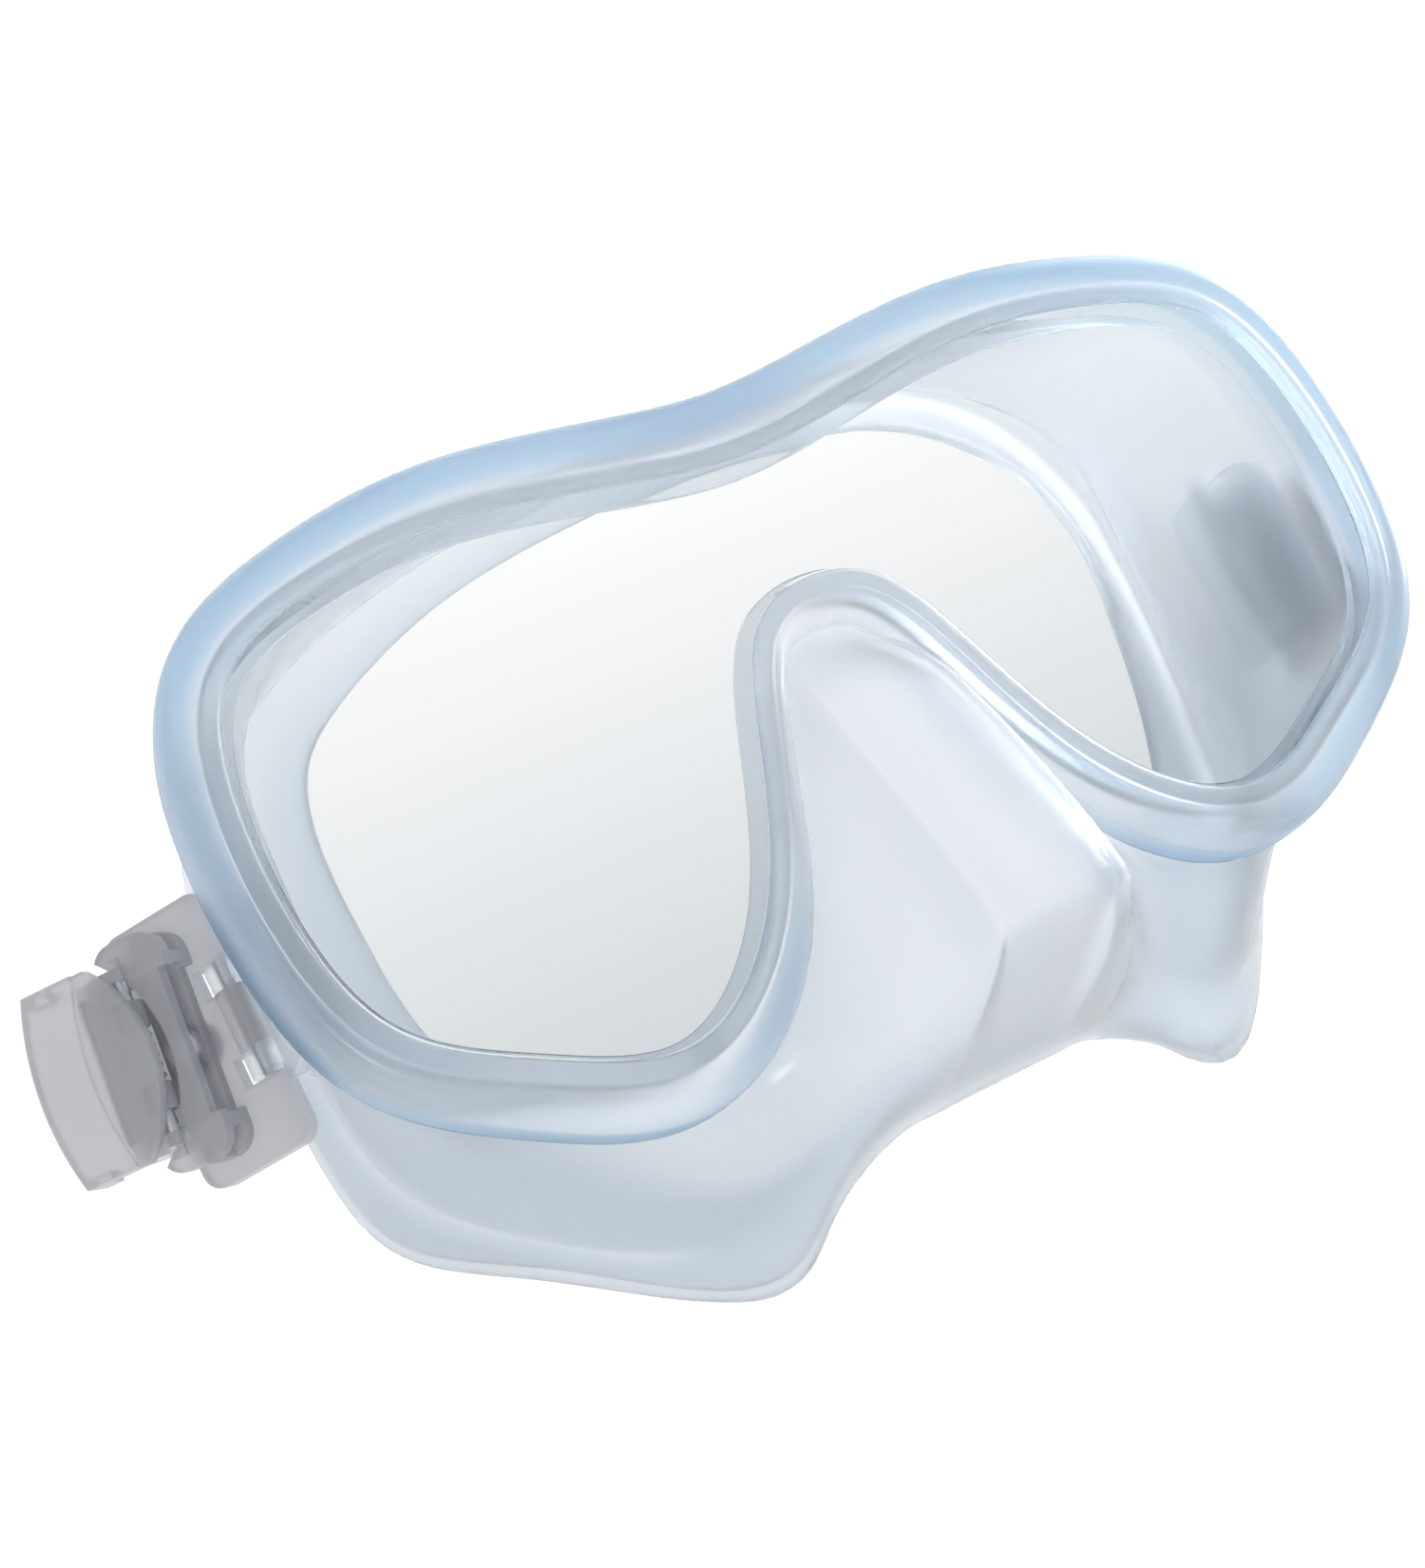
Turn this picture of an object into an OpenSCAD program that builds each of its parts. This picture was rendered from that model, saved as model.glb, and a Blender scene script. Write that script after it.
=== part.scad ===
// Single-lens frameless diving mask.
// +Z is up and -Y is the front, as it is worn. The origin is on the plane of symmetry, where the
// face seal meets the wearer's face, level with the middle of the lens.

/* [Lens] */
// Thickness of the tempered lens
lens_t = 4.4; // [4:0.1:5]
// Distance from the lens's front face to the origin
lens_reach = 45; // [44:0.5:46]
// How far the lens's rear flange stands out past its front face, all round
flange_out = 2.4; // [2:0.1:2.6]
// Depth of the step that the front lip of the rim grips
flange_step = 1.1; // [0.8:0.1:1.4]

/* [Skirt] */
// Wall thickness of the skirt behind the rim
wall_t = 2.2; // [1.8:0.1:2.6]
// Thickness of the skirt at the face seal
seal_t = 1.4; // [1:0.1:1.6]
// Height of the moulded pad that carries each buckle
pad_h = 22; // [20:1:24]

/* [Buckle] */
// Angle of each buckle back from straight out sideways, at rest
fold_rest = 35; // [20:1:50]
// Upward tilt of each buckle at rest
swivel_rest = 5; // [0:1:8]
// Height of the swivel plate
plate_h = 34; // [33:0.5:35]
// Height of the buckle body
body_h = 29; // [28.5:0.5:30]
// Height of the release lever
lever_h = 24.4; // [24:0.1:25]
// Radius of the strap roller
roller_r = 3; // [2.8:0.1:3.1]
// Running clearance on the radius of every pin
pin_gap = 0.06; // [0.03:0.01:0.1]

/* [Hidden] */
$fn = 48;
SIDES = ["right", "left"];
PIECES = ["anchor", "hinge_pin", "swivel_plate", "swivel_pin", "buckle_body", "roller", "roller_axle",
          "lever_pin", "lever_spring", "release_lever"];

// ---- Outlines of the mask -------------------------------------------------------------------
// Each list runs from the top centre, round the wearer's left side, to the middle of the nose notch,
// with one entry for each of 15 stations. The other half is its mirror image.

// Front outline of the glass: x, z, then the rim's width, its depth, and its width at the neck behind it
GLASS = [[0, 29.2, 10, 6, 6.5], [18, 31.5, 9.6, 6.5, 6], [38, 34.2, 8.8, 7.5, 5], [56, 32.1, 8, 9, 3.6],
         [69.6, 25.6, 7.4, 10, 2.8], [74.8, 11, 6.6, 10, 1.3], [74.4, -6.5, 6.2, 10, 1.2],
         [68.8, -20.2, 6.4, 10, 2.8], [55.6, -29, 7.2, 9.5, 3.6], [40.5, -34.2, 7.4, 9, 4.4],
         [27.2, -26.5, 6.5, 8, 4.6], [19.2, -13.5, 5, 6.5, 4.2], [14.2, -1, 4.5, 5, 4],
         [8.6, 8.6, 5, 4, 4.6], [0, 11.6, 5.5, 4, 5]];
// Middle of the skirt's wall, and the top of the nose pocket: x, distance behind the glass, z
WAIST = [[0, 9, 38.6], [19, 11, 40], [40, 17, 39.8], [58, 22, 35.8], [68.5, 26, 25.5], [71, 27, 11],
         [71, 28, -7], [67, 29, -24], [55.5, 24, -38.5], [40.5, 18, -45.5], [26, 10, -39],
         [15.5, 1, -25], [10.5, -3, -13], [8, -5.8, -8.5], [0, -6.2, -6.5]];
// Where the wall starts to flare, and the tip of the nose pocket
FLARE = [[0, 12.5, 39.6], [20, 16, 40.4], [43, 27, 39.8], [61, 36, 34.5], [70.5, 42, 24.5], [72, 45, 10],
         [71.8, 46, -9], [69, 45, -28], [57.5, 37, -43], [40.5, 27, -53], [25, 14, -48],
         [15.6, 0, -44], [10.8, -10, -42], [8.3, -17.6, -39.8], [0, -18.8, -39.3]];
// Outer edge of the face seal
SEAL = [[0, 16, 41.8], [20, 20, 42.3], [45, 34, 40.5], [63, 46, 34], [72.5, 54, 22], [74, 57, 8],
        [73, 58, -11], [69.5, 58, -32.5], [55.8, 44, -47.5], [36.5, 31, -62], [26, 25, -57.5],
        [15.5, 22, -52.5], [10, 20, -52], [5, 19, -52], [0, 19, -52]];
// Inner edge of the face seal, round the opening for the face
MOUTH = [[0, 16.5, 35.4], [18, 20, 35.4], [36, 28, 34], [50, 36.5, 29.5], [57.5, 40.3, 23], [60, 41, 12],
         [59.5, 43, 0], [57, 45, -15], [48, 44, -34], [34, 38, -48], [24, 33, -50],
         [16, 30, -48.5], [10, 28, -47], [5, 27, -46.5], [0, 27, -46.5]];
// Points made between two stations
STEPS = 4;
// Rings made between two of the outlines above
RINGS_BETWEEN = 3;
// Rounds of fitting, after which the spline passes through its points
FIT_ROUNDS = 8;

// A cubic spline through a closed list of points
function smoothed(p) =
    let(n = len(p))
    [for (i = [0:n - 1]) (p[(i + n - 1) % n] + 4 * p[i] + p[(i + 1) % n]) / 6];
function fitted(goal, p, rounds) = rounds == 0 ? p : fitted(goal, p + goal - smoothed(p), rounds - 1);
function blend(a, b, c, d, u) =
    (pow(1 - u, 3) * a + (3 * pow(u, 3) - 6 * u * u + 4) * b + (-3 * pow(u, 3) + 3 * u * u + 3 * u + 1) * c
     + pow(u, 3) * d) / 6;
function spline(goal) =
    let(p = fitted(goal, goal, FIT_ROUNDS), n = len(p))
    [for (i = [0:n - 1], k = [0:STEPS - 1])
        blend(p[(i + n - 1) % n], p[i], p[(i + 1) % n], p[(i + 2) % n], k / STEPS)];
function mirrored(p) = [-p[0], for (i = [1:len(p) - 1]) p[i]];
function ring(half) = spline(concat(half, [for (i = [len(half) - 2:-1:1]) mirrored(half[i])]));

RIM = ring(GLASS);
COUNT = len(RIM);
function prev(i) = (i + COUNT - 1) % COUNT;
function next(i) = (i + 1) % COUNT;
// Unit vector out of the glass's outline at point i, in its own plane
function outward(i) =
    let(t = [RIM[next(i)][0] - RIM[prev(i)][0], RIM[next(i)][1] - RIM[prev(i)][1]])
    [-t[1], t[0]] / norm(t);
OUTWARD = [for (i = [0:COUNT - 1]) outward(i)];
function outline(out) = [for (i = [0:COUNT - 1]) [RIM[i][0], RIM[i][1]] + OUTWARD[i] * out];
// A ring at a share of the rim's width plus a distance out, and at a share of its depth plus a distance back
function rim_ring(share, out, deep, back) =
    [for (i = [0:COUNT - 1])
        let(r = RIM[i], n = OUTWARD[i], d = r[2] * share + out)
        [r[0] + n[0] * d, r[3] * deep + back, r[1] + n[1] * d]];

// The rings of a section given as [share of the width, out, share of the depth, back]
function rim_rings(section) = [for (s = section) rim_ring(s[0], s[1], s[2], s[3])];

// ---- Lens -----------------------------------------------------------------------------------
// How far solids that are joined run into each other
JOIN = 0.01;
module lens() {
    color([0.9, 0.96, 0.98, 0.5])
    translate([0, -lens_reach, 0])
    rotate([90, 0, 0])
    mirror([0, 0, 1]) {
        linear_extrude(flange_step + JOIN) polygon(outline(0));
        translate([0, 0, flange_step]) linear_extrude(lens_t - flange_step) polygon(outline(flange_out));
    }
}

// ---- Skirt ----------------------------------------------------------------------------------
// The rim from its lip on the glass to its shoulder, as rim_rings() takes it
LIP = [[0, 0.1, 0, -0.5], [0, 1.2, 0, -0.95], [0, 2.4, 0, -0.75], [0.4, 0.8, 0, -1.05],
       [0.85, -0.3, 0.03, -0.8], [1, -0.3, 0.16, 0.2], [1, 0, 0.4, 0]];
SHOULDER = rim_ring(1, 0, 1, -0.5);
// How far the neck is sunk behind the rim's shoulder, by the number of stations from the nose notch
UNDERCUT = [[4, 2.8], [5.5, 1.9]];
function from_notch(i) = abs(i / STEPS - (len(GLASS) - 1));
NECK = [for (i = [0:COUNT - 1])
    let(r = RIM[i], n = OUTWARD[i])
    [r[0] + n[0] * r[4], r[3] + lookup(from_notch(i), UNDERCUT), r[1] + n[1] * r[4]]];
WAIST_RING = ring(WAIST);
FLARE_RING = ring(FLARE);
SEAL_RING = ring(SEAL);
MOUTH_RING = ring(MOUTH);
OUTLINES = [SHOULDER, NECK, WAIST_RING, FLARE_RING, SEAL_RING, MOUTH_RING];
function unit(v) = v / norm(v);
// The speed of a smooth curve at ring k. It is limited by the shorter way to the ring's neighbours, so
// that the curve never loops.
MAX_SPEED = 1.3;
function speed(rings, k, i) =
    k == 0 ? rings[1][i] - rings[0][i]
    : k == len(rings) - 1 ? rings[k][i] - rings[k - 1][i]
    : let(p = norm(rings[k][i] - rings[k - 1][i]), q = norm(rings[k + 1][i] - rings[k][i]))
        unit(rings[k + 1][i] - rings[k - 1][i]) * min(2 * p * q / (p + q), MAX_SPEED * min(p, q));
// The ring at a share u of the way from ring k to the next, on a smooth curve through them all
function between(rings, k, u) =
    [for (i = [0:COUNT - 1])
        (1 + 2 * u) * pow(1 - u, 2) * rings[k][i] + u * pow(1 - u, 2) * speed(rings, k, i)
        + u * u * (3 - 2 * u) * rings[k + 1][i] + u * u * (u - 1) * speed(rings, k + 1, i)];
function curved(rings, first) =
    concat([for (k = [first:len(rings) - 2], j = [0:RINGS_BETWEEN - 1]) between(rings, k, j / RINGS_BETWEEN)],
           [rings[len(rings) - 1]]);
// The outer surface, from the neck behind the rim down to the inner edge of the seal
WALL = curved(OUTLINES, 1);
LAST = len(WALL) - 1;
// Unit normal of the wall at an outline, away from the space inside the mask
function wall_normal(k, i) =
    let(row = (k - 1) * RINGS_BETWEEN,
        a = WALL[row][next(i)] - WALL[row][prev(i)],
        b = WALL[min(row + 1, LAST)][i] - WALL[max(row - 1, 0)][i])
    unit(cross(a, b));
function inner_outline(k, t) = [for (i = [0:COUNT - 1]) OUTLINES[k][i] - wall_normal(k, i) * t];
// The inside of the sharp bend at the seal's outer edge, on the line that halves the bend
BEND_T = 1.8;
SEAL_INSIDE = [for (i = [0:COUNT - 1])
    SEAL_RING[i] + BEND_T * unit(unit(FLARE_RING[i] - SEAL_RING[i]) + unit(MOUTH_RING[i] - SEAL_RING[i]))];
// The inside, from the inner edge of the seal forward to the neck
INNER = curved([inner_outline(1, wall_t), inner_outline(2, wall_t), inner_outline(3, BEND_T), SEAL_INSIDE,
                inner_outline(5, seal_t)], 0);
INNER_LAST = len(INNER) - 1;
INSIDE = [for (k = [INNER_LAST:-1:0]) INNER[k]];
// The groove that holds the lens, from behind it to its front, as rim_rings() takes it
FIT = 0.1;
GROOVE_OUT = flange_out + FIT;
SEAT_BACK = lens_t + FIT;
SEAT_FRONT = flange_step - FIT;
SHELF = rim_ring(0.25, 0, 0.5, 4.1);
SEAT = [[0, -0.4, 0, lens_t + 2.6], [0, -1.3, 0, lens_t + 1.8], [0, -1.4, 0, SEAT_BACK],
        [0, GROOVE_OUT, 0, SEAT_BACK], [0, GROOVE_OUT, 0, SEAT_FRONT], [0, FIT, 0, SEAT_FRONT]];
// The ring between the neck and the shelf, sunk back where the neck stands out past the shelf
SINK = 0.35;
BEHIND = [for (i = [0:COUNT - 1])
    let(d = INNER[0][i] - SHELF[i], n = OUTWARD[i])
    (INNER[0][i] + SHELF[i]) / 2 + [0, SINK * max(0, d[0] * n[0] + d[2] * n[1]), 0]];
SECTION = concat(rim_rings(LIP), [SHOULDER], WALL, INSIDE, [BEHIND, SHELF], rim_rings(SEAT));
ROWS = len(SECTION);

module skirt_shell() {
    translate([0, -lens_reach, 0])
    polyhedron(
        points = [for (row = SECTION, p = row) p],
        faces = [for (k = [0:ROWS - 1], i = [0:COUNT - 1])
            let(a = k * COUNT, b = ((k + 1) % ROWS) * COUNT)
            each [[a + i, b + i, b + next(i)], [a + i, b + next(i), a + next(i)]]],
        convexity = 10);
}

// Pad on the wearer's right temple: its outer face is flat, and its inner face follows the wall's middle
PAD_X = -75;
PAD_Y = 23.5 - lens_reach;
PAD_Z = -4;
PAD_LONG = 16;
PAD_CORNER = 3;
PAD_INSIDE = [[1.95, -PAD_LONG / 2], [3.5, -3.5], [4.6, 0.5], [5.3, 4.5], [5.5, PAD_LONG / 2]];
module pad() {
    translate([PAD_X, PAD_Y, PAD_Z])
    intersection() {
        rotate([0, 90, 0]) linear_extrude(PAD_LONG) rounded(pad_h, PAD_LONG, PAD_CORNER);
        linear_extrude(pad_h, center = true)
        polygon(concat([[0, PAD_LONG / 2], [0, -PAD_LONG / 2]], PAD_INSIDE));
    }
}

module skirt() {
    color([0.78, 0.86, 0.92, 0.8]) {
        skirt_shell();
        pad();
        mirror([1, 0, 0]) pad();
    }
}

// ---- Buckle ---------------------------------------------------------------------------------
// A buckle has its own axes: X outward along the buckle from the hinge, Y through its thickness
// towards the mask, and Z up. Its front is at negative Y.
HINGE = [-78.4, 33.5 - lens_reach, PAD_Z];
SWIVEL_X = 7.6;
PIN_R = 1;
AXLE_R = 1;
STUD_R = 2;
BARREL_R = 2.4;
BARREL_H = 8;
PLATE_T = 2.4;
DECK_FRONT = -8;
DECK_T = 1.8;
FLOOR_BACK = -1.5;
FLOOR_T = 1.6;
CHEEK_IN = 9.6;
CHEEK_T = 1.6;
BODY_X = 3.4;
ROLLER = [14.4, -4.5];
LEVER = [10, -8.1];
LEVER_BACK = -9.8;
LEVER_T = 1.6;
COVER_R = 17;
COVER_X = 7.2;
TAB_R = 37;
TAB_X = 23;
TAB_W = 7.4;

function arc(centre, r, from, to, n) =
    [for (k = [0:n]) centre + r * [cos(from + (to - from) * k / n), sin(from + (to - from) * k / n)]];
// A rectangle with round corners, centred on the origin
module rounded(w, h, r) {
    polygon([for (q = [0:3], k = [0:6])
        let(a = 90 * q + 15 * k, sx = (q == 0 || q == 3) ? 1 : -1, sy = q < 2 ? 1 : -1)
        [sx * (w / 2 - r) + r * cos(a), sy * (h / 2 - r) + r * sin(a)]]);
}
// A plate from its X-Z outline, between two distances along Y
module plate(front, thick) {
    translate([0, front + thick, 0]) rotate([90, 0, 0]) linear_extrude(thick) children();
}
// A round bar along Z
module bar(at, r, low, high) {
    translate([at[0], at[1], low]) cylinder(h = high - low, r = r);
}
// A round bar along Y on the swivel's axis, running forward from a distance along Y
module stud_bar(back, long, r) {
    translate([SWIVEL_X, back, 0]) rotate([90, 0, 0]) cylinder(h = long, r = r);
}
module folded() {
    translate(HINGE) rotate([0, 0, 180 - fold_rest]) mirror([0, 1, 0]) children();
}
module tilted() {
    folded() translate([SWIVEL_X, 0, 0]) rotate([0, -swivel_rest, 0]) translate([-SWIVEL_X, 0, 0]) children();
}

// Bracket on the pad, with two hinge barrels, each on an arm from the bracket
ANCHOR_T = 2.2;
ANCHOR_GAP = 0.1;
ANCHOR_INSET = 1;
ANCHOR_CORNER = 2;
BARREL_GAP = 0.15;
END_H = 3.4;
ARM_X = -1;
ARM_W = 4.2;
ARM_LONG = 5;
HINGE_REACH = BARREL_H / 2 + BARREL_GAP + END_H;
// How far a cutter runs past what it cuts
PAST = 3;
module anchor() {
    color([0.8, 0.82, 0.86, 0.6])
    difference() {
        union() {
            translate([PAD_X - ANCHOR_GAP - ANCHOR_T, PAD_Y, PAD_Z])
            rotate([0, 90, 0])
            linear_extrude(ANCHOR_T)
            rounded(pad_h - 2 * ANCHOR_INSET, PAD_LONG - 2 * ANCHOR_INSET, ANCHOR_CORNER);
            for (low = [-HINGE_REACH, HINGE_REACH - END_H])
                translate([HINGE[0], HINGE[1], PAD_Z + low]) {
                    cylinder(h = END_H, r = BARREL_R);
                    translate([ARM_X, -ARM_LONG, 0]) cube([ARM_W, ARM_LONG, END_H]);
                }
        }
        bar(HINGE, PIN_R + pin_gap, PAD_Z - HINGE_REACH - PAST, PAD_Z + HINGE_REACH + PAST);
    }
}
module hinge_pin() {
    color("silver") bar(HINGE, PIN_R, PAD_Z - HINGE_REACH, PAD_Z + HINGE_REACH);
}
// Plate on the hinge, with the bearing for the swivel stud. Its inner edge has a window for the barrels.
PLATE_X = -2.2;
PLATE_W = 15.6;
PLATE_CORNER = 2.5;
WINDOW_X = 3.5;
WINDOW_H = 2 * HINGE_REACH + 0.6;
module plate_outline() {
    difference() {
        translate([PLATE_X + PLATE_W / 2, 0]) rounded(PLATE_W, plate_h, PLATE_CORNER);
        translate([PLATE_X - PAST, -WINDOW_H / 2]) square([WINDOW_X - PLATE_X + PAST, WINDOW_H]);
    }
}
module swivel_plate() {
    color([0.8, 0.82, 0.84, 0.6])
    folded()
    difference() {
        union() {
            plate(-PLATE_T / 2, PLATE_T) plate_outline();
            bar([0, 0], BARREL_R, -BARREL_H / 2, BARREL_H / 2);
            translate([0, -PLATE_T / 2, -BARREL_H / 2]) cube([WINDOW_X + JOIN, PLATE_T, BARREL_H]);
        }
        bar([0, 0], PIN_R + pin_gap, -BARREL_H, BARREL_H);
        stud_bar(PLATE_T, 2 * PLATE_T, STUD_R + pin_gap);
    }
}
// Stud with a T-shaped head, which clips the body to the swivel plate
HEAD_T = 1.4;
HEAD_GAP = 0.1;
HEAD_FRONT = FLOOR_BACK - FLOOR_T - HEAD_GAP - HEAD_T;
HEAD_BAR = [3.2, 9, 1.4];
HEAD_LEG = [2.8, 3.4, 1.2];
STUD_OUT = 0.2;
STUD_BACK = PLATE_T / 2 + STUD_OUT;
STUD_LONG = STUD_BACK - HEAD_FRONT - STUD_OUT;
FLANGE_T = 0.7;
FLANGE_OUT = 0.9;
module swivel_pin() {
    color([0.85, 0.86, 0.9, 0.7])
    tilted() {
        stud_bar(STUD_BACK + FLANGE_T, FLANGE_T, STUD_R + FLANGE_OUT);
        stud_bar(STUD_BACK, STUD_LONG, STUD_R);
        plate(HEAD_FRONT, HEAD_T) translate([SWIVEL_X, 0]) rounded(HEAD_BAR[0], HEAD_BAR[1], HEAD_BAR[2]);
        plate(HEAD_FRONT, HEAD_T)
        translate([SWIVEL_X - HEAD_LEG[0] / 2, 0]) rounded(HEAD_LEG[0], HEAD_LEG[1], HEAD_LEG[2]);
    }
}
// Buckle body: floor, front deck, two side walls and the two cheeks that hold the pins. A notch in its
// inner edge leaves room for the hinge barrels as it swivels.
FLOOR_LONG = 7.2;
DECK_LONG = 9.4;
BODY_CORNER = 3;
NOTCH_DEEP = 1.2;
NOTCH_H = 18.6;
COVER_GAP = 0.6;
SIDE_T = 1.8;
SIDE_LONG = 2.2;
// How far the walls run into the floor and the deck
INTO = 0.5;
// The cheek's corner behind the lever's pin, and the length of its face beside it, from the pin's axis
CHEEK_SLOPE = 2;
CHEEK_EDGE = 1.4;
CHEEK_NOSE = 1.3;
// The round end of the cheek, about the roller's axis
CHEEK_FROM = -75;
CHEEK_TO = 90;
CHEEK_STEPS = 8;
module body_outline(long) {
    difference() {
        translate([BODY_X + long / 2, 0]) rounded(long, body_h, BODY_CORNER);
        translate([BODY_X, 0]) square([2 * NOTCH_DEEP, NOTCH_H], center = true);
    }
}
module deck_outline() {
    difference() {
        body_outline(DECK_LONG);
        translate([COVER_X + COVER_R, 0]) circle(r = COVER_R + COVER_GAP, $fn = 96);
    }
}
module cheek() {
    linear_extrude(CHEEK_T)
    polygon(concat([[BODY_X, FLOOR_BACK], [BODY_X, DECK_FRONT + INTO],
                    [LEVER[0] - CHEEK_SLOPE, DECK_FRONT + INTO],
                    [LEVER[0] - CHEEK_EDGE, LEVER[1] - CHEEK_EDGE],
                    [LEVER[0] + CHEEK_NOSE, LEVER[1] - CHEEK_EDGE]],
                   arc(ROLLER, roller_r, CHEEK_FROM, CHEEK_TO, CHEEK_STEPS)));
}
module buckle_body() {
    color([0.74, 0.75, 0.82, 0.6])
    tilted()
    difference() {
        union() {
            plate(FLOOR_BACK - FLOOR_T, FLOOR_T) body_outline(FLOOR_LONG);
            plate(DECK_FRONT, DECK_T) deck_outline();
            for (s = [-1, 1]) {
                plate(DECK_FRONT + INTO, FLOOR_BACK - DECK_FRONT - 2 * INTO)
                translate([BODY_X + FLOOR_LONG / 2, s * (body_h - SIDE_T) / 2])
                square([SIDE_LONG, SIDE_T], center = true);
                translate([0, 0, s * (CHEEK_IN + CHEEK_T / 2) - CHEEK_T / 2]) cheek();
            }
        }
        bar(ROLLER, AXLE_R, -CHEEK_IN - PAST, CHEEK_IN + PAST);
        bar(LEVER, AXLE_R, -CHEEK_IN - PAST, CHEEK_IN + PAST);
        stud_bar(0, PAST + FLOOR_T, STUD_R + pin_gap);
    }
}
// Fluted roller that the strap runs round
FLUTES = 14;
FLUTE_R = 0.4;
FLUTE_OUT = 0.1;
ROLLER_H = 2 * CHEEK_IN - 0.4;
module roller() {
    color([0.84, 0.85, 0.9, 0.7])
    tilted()
    difference() {
        bar(ROLLER, roller_r, -ROLLER_H / 2, ROLLER_H / 2);
        bar(ROLLER, AXLE_R + pin_gap, -ROLLER_H, ROLLER_H);
        for (k = [0:FLUTES - 1])
            bar(ROLLER + (roller_r + FLUTE_OUT) * [cos(360 * k / FLUTES), sin(360 * k / FLUTES)], FLUTE_R,
                -ROLLER_H, ROLLER_H);
    }
}
module roller_axle() {
    color("silver") tilted() bar(ROLLER, AXLE_R, -CHEEK_IN - CHEEK_T, CHEEK_IN + CHEEK_T);
}
module lever_pin() {
    color("silver") tilted() bar(LEVER, AXLE_R, -CHEEK_IN - CHEEK_T, CHEEK_IN + CHEEK_T);
}
// Release lever: a cover over the roller, with a curved finger tab at its outer end and a pawl under it
KNUCKLE_R = 1.9;
KNUCKLE_H = 3.4;
KNUCKLE_Z = 5.2;
PAWL_W = 1.2;
PAWL_GAP = 0.2;
PAWL_H = 2 * CHEEK_IN - 1;
TAB_RISE = 0.7;
TAB_DEEP = 2.6;
TAB_SIDE_X = 18.5;
TAB_SIDE_T = 1.4;
LEVER_INTO = 0.1;
module lever_outline() {
    intersection() {
        translate([COVER_X + COVER_R, 0]) circle(r = COVER_R, $fn = 96);
        translate([TAB_X - TAB_R, 0]) circle(r = TAB_R, $fn = 128);
        square([4 * COVER_R, lever_h], center = true);
    }
}
module tab_outline() {
    difference() {
        lever_outline();
        translate([TAB_X - TAB_R - TAB_W, 0]) circle(r = TAB_R, $fn = 128);
    }
}
module release_lever() {
    pawl_deep = ROLLER[1] - roller_r - PAWL_GAP - LEVER_BACK;
    color([0.82, 0.82, 0.84, 0.6])
    tilted()
    difference() {
        union() {
            plate(LEVER_BACK - LEVER_T, LEVER_T) lever_outline();
            plate(LEVER_BACK - LEVER_T - TAB_RISE, LEVER_T) tab_outline();
            for (s = [-1, 1]) {
                bar(LEVER, KNUCKLE_R, s * KNUCKLE_Z - KNUCKLE_H / 2, s * KNUCKLE_Z + KNUCKLE_H / 2);
                plate(LEVER_BACK - LEVER_INTO, TAB_DEEP)
                intersection() {
                    tab_outline();
                    translate([TAB_SIDE_X, s * (lever_h - TAB_SIDE_T) / 2 - TAB_SIDE_T / 2])
                    square([COVER_R, TAB_SIDE_T]);
                }
            }
            plate(LEVER_BACK - LEVER_INTO, pawl_deep)
            translate([ROLLER[0], 0]) square([PAWL_W, PAWL_H], center = true);
        }
        bar(LEVER, AXLE_R + pin_gap, -CHEEK_IN, CHEEK_IN);
    }
}
// Torsion spring on the lever's pin
SPRING_R = 1.45;
SPRING_H = 6.4;
WIRE_R = 0.25;
WIRE_SIDES = 6;
TURNS = 5;
COIL_STEPS = 12;
function coil_point(k) =
    let(a = 360 * k / COIL_STEPS)
    [LEVER[0] + SPRING_R * cos(a), LEVER[1] + SPRING_R * sin(a), SPRING_H * (k / (TURNS * COIL_STEPS) - 0.5)];
function coil_ring(k) =
    let(p = coil_point(k), a = 360 * k / COIL_STEPS)
    [for (j = [0:WIRE_SIDES - 1])
        let(b = 360 * j / WIRE_SIDES)
        p + WIRE_R * (cos(b) * [cos(a), sin(a), 0] + sin(b) * [0, 0, 1])];
module lever_spring() {
    last = TURNS * COIL_STEPS;
    color("gainsboro")
    tilted()
    polyhedron(
        points = [for (k = [0:last], p = coil_ring(k)) p],
        faces = concat(
            [[for (j = [0:WIRE_SIDES - 1]) j], [for (j = [WIRE_SIDES - 1:-1:0]) last * WIRE_SIDES + j]],
            [for (k = [0:last - 1], j = [0:WIRE_SIDES - 1])
                let(a = k * WIRE_SIDES + j, b = k * WIRE_SIDES + (j + 1) % WIRE_SIDES)
                each [[a, a + WIRE_SIDES, b + WIRE_SIDES], [a, b + WIRE_SIDES, b]]]));
}

// ---- Assembly -------------------------------------------------------------------------------
module piece(name) {
    if (name == "anchor") anchor();
    if (name == "hinge_pin") hinge_pin();
    if (name == "swivel_plate") swivel_plate();
    if (name == "swivel_pin") swivel_pin();
    if (name == "buckle_body") buckle_body();
    if (name == "roller") roller();
    if (name == "roller_axle") roller_axle();
    if (name == "lever_pin") lever_pin();
    if (name == "lever_spring") lever_spring();
    if (name == "release_lever") release_lever();
}
lens();
skirt();
for (name = PIECES) {
    piece(name);
    mirror([1, 0, 0]) piece(name);
}
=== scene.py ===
"""Looks of a frameless diving mask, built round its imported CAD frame.

Everything is in metres in the row frame: +Z up, -Y the front, +X the wearer's left. Shapes are worked
out in millimetres behind the front face of the lens, as in the CAD source, and scaled at the end.
"""

import math

import bpy
import numpy as np
from mathutils import Matrix, Vector
from mathutils.bvhtree import BVHTree


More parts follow.
